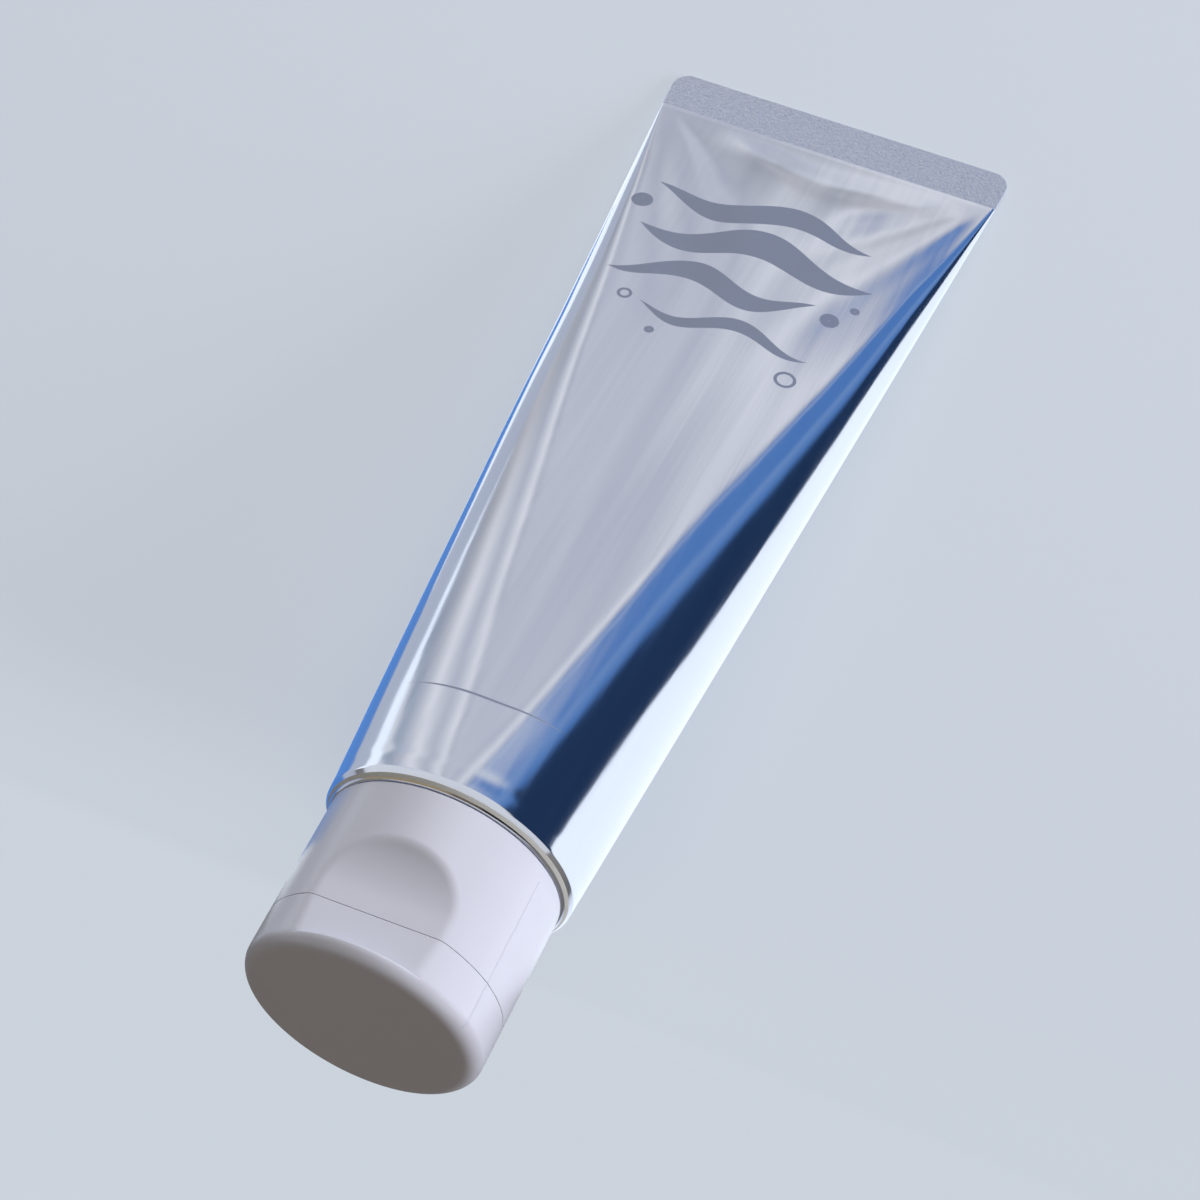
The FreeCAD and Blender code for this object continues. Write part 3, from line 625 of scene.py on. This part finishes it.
def limits(angle, z, isLid):
    # how far out the cap may reach at an angle and height
    front = np.cos(angle)
    back = -front
    if isLid:
        depth = cap["facetDepthAtEnd"] + (cap["facetDepth"] - cap["facetDepthAtEnd"]) * z / cap["seam"]
    elif z <= cap["scoopStraight"]:
        depth = cap["facetDepth"]
    else:
        inside = cap["scoopRadius"] ** 2 - (z - cap["scoopStraight"]) ** 2
        depth = cap["facetDepth"] + cap["scoopRadius"] - math.sqrt(max(inside, 0))
    reach = np.where(front > 0.3, depth / np.maximum(front, 0.3), 99.0)
    hinge = cap["hingeDepth"] if isLid or z <= cap["hingeFlatTop"] else 99.0
    behind = np.where(back > 0.3, hinge / np.maximum(back, 0.3), 99.0)
    narrow = np.abs(np.sin(angle)) * cap["hingeDepth"] < cap["filmWidth"] / 2 + 0.02
    hasFilm = cap["filmFrom"] - 0.02 < z < cap["filmTo"] + 0.02
    film = np.where(narrow & (back > 0) & hasFilm, (cap["hingeDepth"] - cap["film"] - 0.02) / np.maximum(back, 0.3), 99.0)
    return reach, behind, film


def turnedShell(name, rows, isLid):
    # rows: radius, height, inset from the outside, whether the row is on the outside, and for a ledge how deep
    # the facet may cut and how far it stands off
    angles = capAngles()
    vertices, numbers = [], []
    for radius, z, inset, isOutside, *ledge in rows:
        cut, standOff = ledge or (99.0, 0.0)
        if radius == 0:
            numbers.append([len(vertices)])
            vertices.append((0, 0, z))
            continue
        reach, behind, film = limits(angles, z, isLid)
        out = np.full(len(angles), radius + inset)
        if radius > 13:
            out = np.maximum(softMin(out, reach + standOff, cap["edge"]), radius + inset - cut)
            out = softMin(out, behind, 0.2)
            if isOutside:
                line = np.minimum(np.abs(angles - math.radians(cap["partingAngle"])),
                                  np.abs(angles + math.radians(180 - cap["partingAngle"])))
                if 1.0 < z < 23.4:
                    out = out + cap["partingHeight"] * np.exp(-(np.degrees(line) / 0.4) ** 2)
            out = out - inset
            if isOutside:
                out = np.minimum(out, film)
        numbers.append(list(range(len(vertices), len(vertices) + len(angles))))
        vertices += [(r * math.sin(a), -r * math.cos(a), z) for r, a in zip(out, angles)]
    if rows[0][0] != 0:
        numbers.append(numbers[0])
    faces = outward([np.array(v) for v in vertices], strip(numbers))
    return newPiece(name, vertices, faces, layDown(True), capPlastic)


def roundedCorner(points, radius, steps=4):
    # rounds the corners of a radius and height outline
    out = []
    for i, point in enumerate(points):
        before, after = points[i - 1], points[(i + 1) % len(points)]
        p, a, b = (Vector(v[:2]) for v in (point, before, after))
        near = min(radius, (a - p).length * 0.45, (b - p).length * 0.45)
        start, end = p + (a - p).normalized() * near, p + (b - p).normalized() * near
        for k in range(steps + 1):
            t = k / steps
            q = start * (1 - t) ** 2 + p * 2 * t * (1 - t) + end * t ** 2
            out.append((q.x, q.y))
    return out


def baseRows():
    edge = 0.02
    wall, outer, inner = cap["wall"], cap["radius"], cap["radius"] - cap["wall"]
    rows = []
    # outside, from the seam up to the sleeve
    for i in range(6):
        angle = math.pi / 2 * i / 5
        rows.append((outer - edge * (1 - math.sin(angle)), cap["ledge"] + edge * (1 - math.cos(angle)),
                     edge * (1 - math.sin(angle)), True))
    heights = [cap["ledge"] + d for d in (0.07, 0.12, 0.18, 0.25)]
    heights += list(np.arange(cap["ledge"] + 0.4, 18.6, 0.2)) + [cap["hingeFlatTop"] + 0.001, cap["filmTo"] + 0.03,
                                                                cap["filmTo"] + 0.01]
    heights += list(np.arange(19.0, cap["top"] - 0.4, 0.7)) + [23.3, 23.5]
    rows += [(outer, z, 0.0, True) for z in sorted(heights)]
    for i in range(6):
        angle = math.pi / 2 * i / 5
        inset = edge * (1 - math.cos(angle))
        rows.append((outer - inset, cap["top"] - edge * (1 - math.sin(angle)), inset, True))
    # inside: skirt, deck, collar on the neck, seal lip, orifice, nozzle and closing rim
    deckTop = cap["ledge"] + cap["deck"]
    rows += [(inner + 0.15, cap["top"], wall - 0.15, False), (inner, cap["top"] - 0.15, wall, False)]
    rows += [(inner, z, wall, False) for z in np.linspace(cap["top"] - 1, deckTop + 0.3, 22)]
    core = [(inner, deckTop), (7.8, deckTop), (7.8, 21.0), (6.6, 21.0), (6.6, deckTop), (4.7, deckTop),
            (4.7, deckTop + 3.0), (3.9, deckTop + 3.0), (3.9, deckTop), (2.5, cap["ledge"]), (2.5, 3.6), (3.6, 3.6),
            (4.4, cap["ledge"]), (11.0, cap["ledge"]), (11.0, 5.9), (12.1, 5.9), (12.1, cap["ledge"]),
            (13.0, cap["ledge"])]
    soft = roundedCorner(core, 0.18)
    rows += [(r, z, 0.0, False) for r, z in soft[5:-5]]
    rows.append((13.0, cap["ledge"], 0.0, False))
    rows.append((outer - edge - 0.3, cap["ledge"], edge + 0.3, True))
    return rows


def lidRows():
    edge = 0.2
    wall, outer, inner = cap["wall"], cap["radius"], cap["radius"] - cap["wall"]
    rows = [(0, 0.0, 0.0, True)]
    big, foot, lip = cap["endRound"], cap["facetFoot"], cap["facetLip"]
    rows += [(r, 0.0, 0.0, True, 0.0, 0.0) for r in (1.5, 4.0, 7.0, 10.0, 12.0, 13.2, outer - big)]
    # rounded end up to the ledge, then the facet
    for i in range(1, 17):
        angle = math.pi / 2 * i / 16
        z = big * (1 - math.cos(angle))
        if z < foot - lip - 0.05:
            rows.append((outer - big * (1 - math.sin(angle)), z, 0.0, True, 0.0, 0.0))
    steps = [(foot - lip * (1 - math.sin(a)), lip * (1 - math.cos(a)), 0.0) for a in np.linspace(0, math.pi / 2, 6)]
    steps += [(foot, lip + 0.08, 0.0), (foot, 99.0, 0.12), (foot, 99.0, 0.04), (foot + 0.04, 99.0, 0.0),
              (foot + 0.12, 99.0, 0.0)]
    for z, cut, standOff in steps:
        rows.append((outer - big + math.sqrt(big ** 2 - max(big - z, 0) ** 2), z, 0.0, True, cut, standOff))
    heights = [cap["seam"] - 0.22, cap["filmFrom"] - 0.03, cap["filmFrom"] - 0.01]
    heights += list(np.arange(big + 0.25, cap["seam"] - 0.35, 0.25))
    rows += [(outer, z, 0.0, True) for z in sorted(heights)]
    for i in range(6):
        angle = math.pi / 2 * i / 5
        inset = edge * (1 - math.cos(angle))
        rows.append((outer - inset, cap["seam"] - edge * (1 - math.sin(angle)), inset, True))
    rows += [(inner + 0.15, cap["seam"], wall - 0.15, False), (inner, cap["seam"] - 0.15, wall, False)]
    rows += [(inner, z, wall, False) for z in np.linspace(cap["seam"] - 0.8, cap["deck"] + 0.5, 8)]
    rows += [(inner - 0.15, cap["deck"] + 0.15, wall + 0.15, False), (inner - 0.5, cap["deck"], wall + 0.5, False),
             (12.0, cap["deck"], 0.0, False)]
    plug = [(12.0, cap["deck"]), (2.15, cap["deck"]), (2.15, 4.8), (1.25, 4.8), (1.25, cap["deck"]),
            (0.6, cap["deck"])]
    soft = roundedCorner(plug, 0.15)
    rows += [(r, z, 0.0, False) for r, z in soft[5:-5]]
    rows.append((0, cap["deck"], 0.0, False))
    return rows


capBase = turnedShell("capBase", baseRows(), False)
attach(capBase, "tube")
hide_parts("cap_base")
capLid = turnedShell("capLid", lidRows(), True)
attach(capLid, "lid")
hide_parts("cap_lid")
print("stage: cap made,", len(capBase.data.polygons), len(capLid.data.polygons), "faces")


def makeFilm():
    # thin web that joins base and lid at the back
    steps, half = 16, cap["filmWidth"] / 2 - 0.02
    outer, inner = cap["hingeDepth"], cap["hingeDepth"] - cap["film"]
    vertices, rows = [], []
    for z in np.linspace(cap["filmTo"], cap["filmFrom"], steps + 1):
        waist = 0.12 * math.exp(-((z - (cap["seam"] + cap["ledge"]) / 2) / 0.25) ** 2)      # thinnest at the fold
        ring = [(-half, inner), (half, inner), (half, outer - waist), (-half, outer - waist)]
        rows.append(list(range(len(vertices), len(vertices) + 4)))
        vertices += [(x, y, z) for x, y in ring]
    faces = strip(rows) + [rows[0], rows[-1][::-1]]
    faces = outward([np.array(v) for v in vertices], faces)
    return newPiece("hingeFilm", vertices, faces, layDown(True), hingePlastic)


film = makeFilm()
for face in film.data.polygons:
    face.use_smooth = False
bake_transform(film)

for node, material in (("tube_head", headPlastic), ("paste", mintPaste)):
    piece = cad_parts[node]
    piece.data.materials.clear()
    piece.data.materials.append(material)
print("stage: hinge film and inside pieces done")


# ---- studio ----

studio = {
    "floor": "#DDE4EE", "lowFloor": "#7F7365", "floorEdge": -63.5, "edgeRound": 2.5, "drop": 48.0,
    "floorFar": 6000.0, "haze": 0.33,
    "glow": "#D3DBE5", "glowOnTop": 0.55, "glowBelow": 0.91,       # share of the glow that the camera sees
    "mirrorOnTop": 0.85, "mirrorBelow": 0.1, "mirrorGlow": 1.0,    # and that gloss and metal see
    "evenShare": 0.112, "evenBeyond": 1.088,
    "worldLight": 0.36, "worldTint": "#E4ECF8", "frontTint": "#C8BBA6", "background": "#EEF2F8",
}


def makeFloor():
    # plain pale table top whose edge lies under the cap, with a lower floor in front of it
    edge, r, drop = studio["floorEdge"], studio["edgeRound"], studio["drop"]
    far = studio["floorFar"]
    line = [(far, 0.0), (400.0, 0.0), (60.0, 0.0), (edge + 6, 0.0)]
    line += [(edge - r * math.sin(a), -r * (1 - math.cos(a))) for a in np.linspace(0, math.pi / 2, 10)]
    low = 14.0
    line += [(edge - r - low * (1 - math.cos(a)), -drop + low - low * math.sin(a))
             for a in np.linspace(0, math.pi / 2, 12)]
    line += [(edge - 80, -drop), (-600.0, -drop), (-far, -drop)]
    vertices, rows = [], []
    for y, z in line:
        rows.append([len(vertices), len(vertices) + 1])
        vertices += [(-far, y, z), (far, y, z)]
    faces = strip(rows, wrap=False)
    material, tree, shader = newMaterial("paleStudioCard")
    cloud = addNode(tree, "ShaderNodeTexNoise", addNode(tree, "ShaderNodeTexCoord", out=3),
                    named={"Scale": 3.0, "Detail": 2.0})
    tone = addNode(tree, "ShaderNodeMix", cloud, data_type="RGBA", out=None)
    tone.inputs[6].default_value = linear(studio["floor"])
    tone.inputs[7].default_value = [c * 1.02 for c in linear(studio["floor"])[:3]] + [1]
    spot = addNode(tree, "ShaderNodeSeparateXYZ", addNode(tree, "ShaderNodeTexCoord", out=3), out=None)
    onTop = addNode(tree, "ShaderNodeMapRange", spot.outputs[2], -0.003, -0.0005, 0.0, 1.0)
    ground = addNode(tree, "ShaderNodeMix", onTop, data_type="RGBA", out=None)
    ground.inputs[6].default_value = linear(studio["lowFloor"])
    tree.links.new(tone.outputs[2], ground.inputs[7])
    tree.links.new(ground.outputs[2], shader.inputs["Base Color"])
    shader.inputs["Roughness"].default_value = 0.9
    shader.inputs["Specular IOR Level"].default_value = 0.1
    seenShare = addNode(tree, "ShaderNodeMapRange", spot.outputs[1], -0.061, -0.035, studio["glowBelow"],
                        studio["glowOnTop"], interpolation_type="SMOOTHSTEP")
    # the lamps don't reach the far table top, so the glow alone sets its tone
    away = addNode(tree, "ShaderNodeVectorMath", addNode(tree, "ShaderNodeTexCoord", out=3), out=1,
                   operation="LENGTH")
    away = addNode(tree, "ShaderNodeMapRange", away, 0.4, 1.4, 0.0, onTop, interpolation_type="SMOOTHSTEP")
    seenShare = addNode(tree, "ShaderNodeMath", seenShare, away, operation="MAXIMUM")
    mirrorShare = addNode(tree, "ShaderNodeMapRange", spot.outputs[1], -0.066, -0.060, studio["mirrorBelow"],
                          studio["mirrorOnTop"])
    path = addNode(tree, "ShaderNodeLightPath", out=None)
    seen = addNode(tree, "ShaderNodeMath", path.outputs["Is Camera Ray"], path.outputs["Is Transmission Ray"],
                   operation="MAXIMUM")
    share = addNode(tree, "ShaderNodeMath", seen, seenShare, operation="MULTIPLY")
    share = addNode(tree, "ShaderNodeMath", path.outputs["Is Glossy Ray"], mirrorShare, share,
                    operation="MULTIPLY_ADD")
    # the glow is dimmed where its share grows, so that the floor keeps one tone up to the edge and beyond it
    even = addNode(tree, "ShaderNodeMath", studio["evenShare"], seenShare, operation="DIVIDE")
    even = addNode(tree, "ShaderNodeMath", even, 1 - studio["evenShare"] / studio["glowOnTop"], operation="ADD")
    beyond = addNode(tree, "ShaderNodeMapRange", spot.outputs[1], -0.066, -0.0635, studio["evenBeyond"], 1.0)
    even = addNode(tree, "ShaderNodeMath", even, beyond, operation="MULTIPLY")
    strength = addNode(tree, "ShaderNodeMath", path.outputs["Is Glossy Ray"], studio["mirrorGlow"], even,
                       operation="MULTIPLY_ADD")
    glow = addNode(tree, "ShaderNodeEmission", linear(studio["glow"]), strength)
    mixed = addNode(tree, "ShaderNodeMixShader", share, shader.outputs[0], glow)
    tree.links.new(mixed, tree.nodes["Material Output"].inputs["Surface"])
    floor = newPiece("studioFloor", vertices, faces, Matrix.Scale(0.001, 4), material)
    return floor


def makeCard(name, fromAzimuth, toAzimuth, height, distance, stops, fadeFrom, hazeFrom):
    # upright curved card for reflections only, coloured round its arc and fading into the background at its top
    vertices, rows = [], []
    for azimuth in np.radians(np.linspace(fromAzimuth, toAzimuth, 41)):
        rows.append([len(vertices), len(vertices) + 1])
        x, y = distance * math.cos(azimuth), distance * math.sin(azimuth)
        vertices += [(x, y, 1.0), (x, y, height)]
    material = bpy.data.materials.new(name)
    material.use_nodes = True
    tree = material.node_tree
    tree.nodes.clear()
    parts = addNode(tree, "ShaderNodeSeparateXYZ", addNode(tree, "ShaderNodeTexCoord", out=3), out=None)
    azimuth = addNode(tree, "ShaderNodeMath", parts.outputs[1], parts.outputs[0], operation="ARCTAN2")
    share = addNode(tree, "ShaderNodeMapRange", azimuth, math.radians(fromAzimuth), math.radians(toAzimuth), 0.0, 1.0)
    ramp = addNode(tree, "ShaderNodeValToRGB", share, out=None)
    ramp.color_ramp.elements[0].position, ramp.color_ramp.elements[0].color = stops[0]
    ramp.color_ramp.elements[1].position, ramp.color_ramp.elements[1].color = stops[-1]
    for position, colour in stops[1:-1]:
        ramp.color_ramp.elements.new(position).color = colour
    rise = addNode(tree, "ShaderNodeMapRange", parts.outputs[2], fadeFrom / 1000, height / 1000, 0.0, 1.0,
                   interpolation_type="SMOOTHSTEP")
    mixed = addNode(tree, "ShaderNodeMix", rise, data_type="RGBA", out=None)
    # darker towards the horizon, from a share of the arc on, so that folds across the tube show
    low = addNode(tree, "ShaderNodeMapRange", parts.outputs[2], 0.08, 0.34, 1 - studio["haze"], 1.0,
                  interpolation_type="SMOOTHSTEP")
    clear = addNode(tree, "ShaderNodeMapRange", share, hazeFrom, hazeFrom + 0.05, 1.0, low)
    toned = addNode(tree, "ShaderNodeVectorMath", ramp.outputs[0], named={"Scale": clear}, operation="SCALE")
    tree.links.new(toned, mixed.inputs[6])
    mixed.inputs[7].default_value = linear(studio["background"])
    glow = addNode(tree, "ShaderNodeEmission", mixed.outputs[2], 1.0)
    output = tree.nodes.new("ShaderNodeOutputMaterial")
    tree.links.new(glow, output.inputs["Surface"])
    card = newPiece(name, vertices, strip(rows, wrap=False), Matrix.Scale(0.001, 4), material)
    card.visible_camera = card.visible_diffuse = card.visible_shadow = card.visible_transmission = False
    return card


def areaLight(name, location, target, width, height, power, colour):
    data = bpy.data.lights.new(name, "AREA")
    data.shape = "RECTANGLE"
    data.size, data.size_y = width, height
    data.energy = power
    data.color = linear(colour)[:3]
    lamp = bpy.data.objects.new(name, data)
    lamp.location = location
    lamp.rotation_euler = (Vector(target) - Vector(location)).to_track_quat("-Z", "Y").to_euler()
    bpy.context.scene.collection.objects.link(lamp)
    return lamp


makeFloor()
navy, blue = linear("#22395C"), linear("#5989CD")
shade, cloud, glare = linear("#CACEDB"), linear("#E0E3EC"), [1.0, 1.0, 1.04, 1]
makeCard("skyCard", -25, 112, 860.0, 700.0, [
    (0.0, navy), (0.505, navy), (0.54, blue), (0.60, linear("#7DA2D8")), (0.64, blue), (0.79, blue),
    (0.815, linear("#A9BEE2")), (0.83, blue), (0.86, shade), (0.89, glare), (0.92, cloud),
    (0.95, shade), (0.98, cloud), (1.0, shade)], 660.0, 0.84)
makeCard("cloudCard", 108, 152, 900.0, 720.0, [
    (0.0, shade), (0.12, shade), (0.24, glare), (0.36, cloud), (0.48, shade), (0.60, cloud), (0.72, glare),
    (0.84, cloud), (1.0, linear("#BFD0EA"))], 700.0, -0.05)


def makeFlag(name, corners, colour):
    # upright card close beside the tube that only its reflections show
    material = bpy.data.materials.new(name)
    material.use_nodes = True
    tree = material.node_tree
    tree.nodes.clear()
    glow = addNode(tree, "ShaderNodeEmission", linear(colour), 1.0)
    output = tree.nodes.new("ShaderNodeOutputMaterial")
    tree.links.new(glow, output.inputs["Surface"])
    flag = newPiece(name, corners, [range(len(corners))], Matrix.Scale(0.001, 4), material)
    flag.visible_camera = flag.visible_diffuse = flag.visible_shadow = flag.visible_transmission = False


makeFlag("navyFlag", [(72, -80, 30), (72, -5, 19.5), (72, 13, 8.5), (72, 54, 1), (72, 150, 1), (72, 150, 24),
                      (72, -80, 33)], "#22395C")
makeFlag("blueFlag", [(-24, -62, 0.5), (-31, 60, 0.5), (-31, 60, 1), (-24, -62, 23)], "#5E92DC")
makeFlag("bronzeFlag", [(-62, -88, 16), (-34, -88, 34), (-5, -88, 43), (-5, -88, 70), (-34, -88, 62),
                        (-62, -88, 44)], "#A8977A")
makeFlag("umberFlag", [(-5, -88, 43), (10, -88, 42), (10, -88, 68), (-5, -88, 70)], "#75685A")
makeFlag("sootFlag", [(10, -88, 42), (24, -88, 36), (48, -88, 22), (48, -88, 44), (24, -88, 58), (10, -88, 68)],
         "#2A2624")
makeFlag("paleFlag", [(-46, -80, 0.5), (-52, 150, 0.5), (-52, 150, 12), (-46, -80, 24)], "#C3CBDB")
overhead = areaLight("overhead", (0.05, 0.85, 0.95), (0, 0, 0), 1.1, 0.8, 6.5, "#FFFFFF")
fromTheRight = areaLight("fromTheRight", (1.15, 0.2, 0.3), (0, 0, 0.01), 0.7, 0.5, 11.0, "#F4F6FF")
for lamp in (overhead, fromTheRight):
    lamp.visible_glossy = False                            # the cards alone show in the film

world = bpy.data.worlds.new("studioWorld")
world.use_nodes = True
bpy.context.scene.world = world
tree = world.node_tree
tree.nodes.clear()
path = addNode(tree, "ShaderNodeLightPath", out=None)
seen = addNode(tree, "ShaderNodeMath", path.outputs["Is Camera Ray"], path.outputs["Is Glossy Ray"], operation="MAXIMUM")
seen = addNode(tree, "ShaderNodeMath", seen, path.outputs["Is Transmission Ray"], operation="MAXIMUM")
side = addNode(tree, "ShaderNodeSeparateXYZ", addNode(tree, "ShaderNodeTexCoord", out=0), out=1)
behind = addNode(tree, "ShaderNodeMapRange", side, -0.7, 0.2, 0.0, 1.0)
tint = addNode(tree, "ShaderNodeMix", behind, data_type="RGBA", out=None)
tint.inputs[6].default_value = linear(studio["frontTint"])
tint.inputs[7].default_value = linear(studio["worldTint"])
soft = addNode(tree, "ShaderNodeBackground", tint.outputs[2], studio["worldLight"])
pale = addNode(tree, "ShaderNodeBackground", linear(studio["background"]), 1.0)
both = addNode(tree, "ShaderNodeMixShader", seen, soft, pale)
output = tree.nodes.new("ShaderNodeOutputWorld")
tree.links.new(both, output.inputs["Surface"])

view = {"location": (0.0866435, -0.1985489, 0.3589572), "turn": (30.41849, 0.834597, 23.217734), "lens": 87.9957}
cameraData = bpy.data.cameras.new("camera")
cameraData.sensor_width = 36.0
cameraData.lens = view["lens"]
cameraData.clip_start, cameraData.clip_end = 0.01, 20.0
camera = bpy.data.objects.new("camera", cameraData)
camera.location = view["location"]
camera.rotation_euler = Euler([math.radians(a) for a in view["turn"]], "XYZ")
bpy.context.scene.collection.objects.link(camera)
bpy.context.scene.camera = camera
bpy.context.scene.view_settings.view_transform = "Standard"
print("stage: studio and camera set")
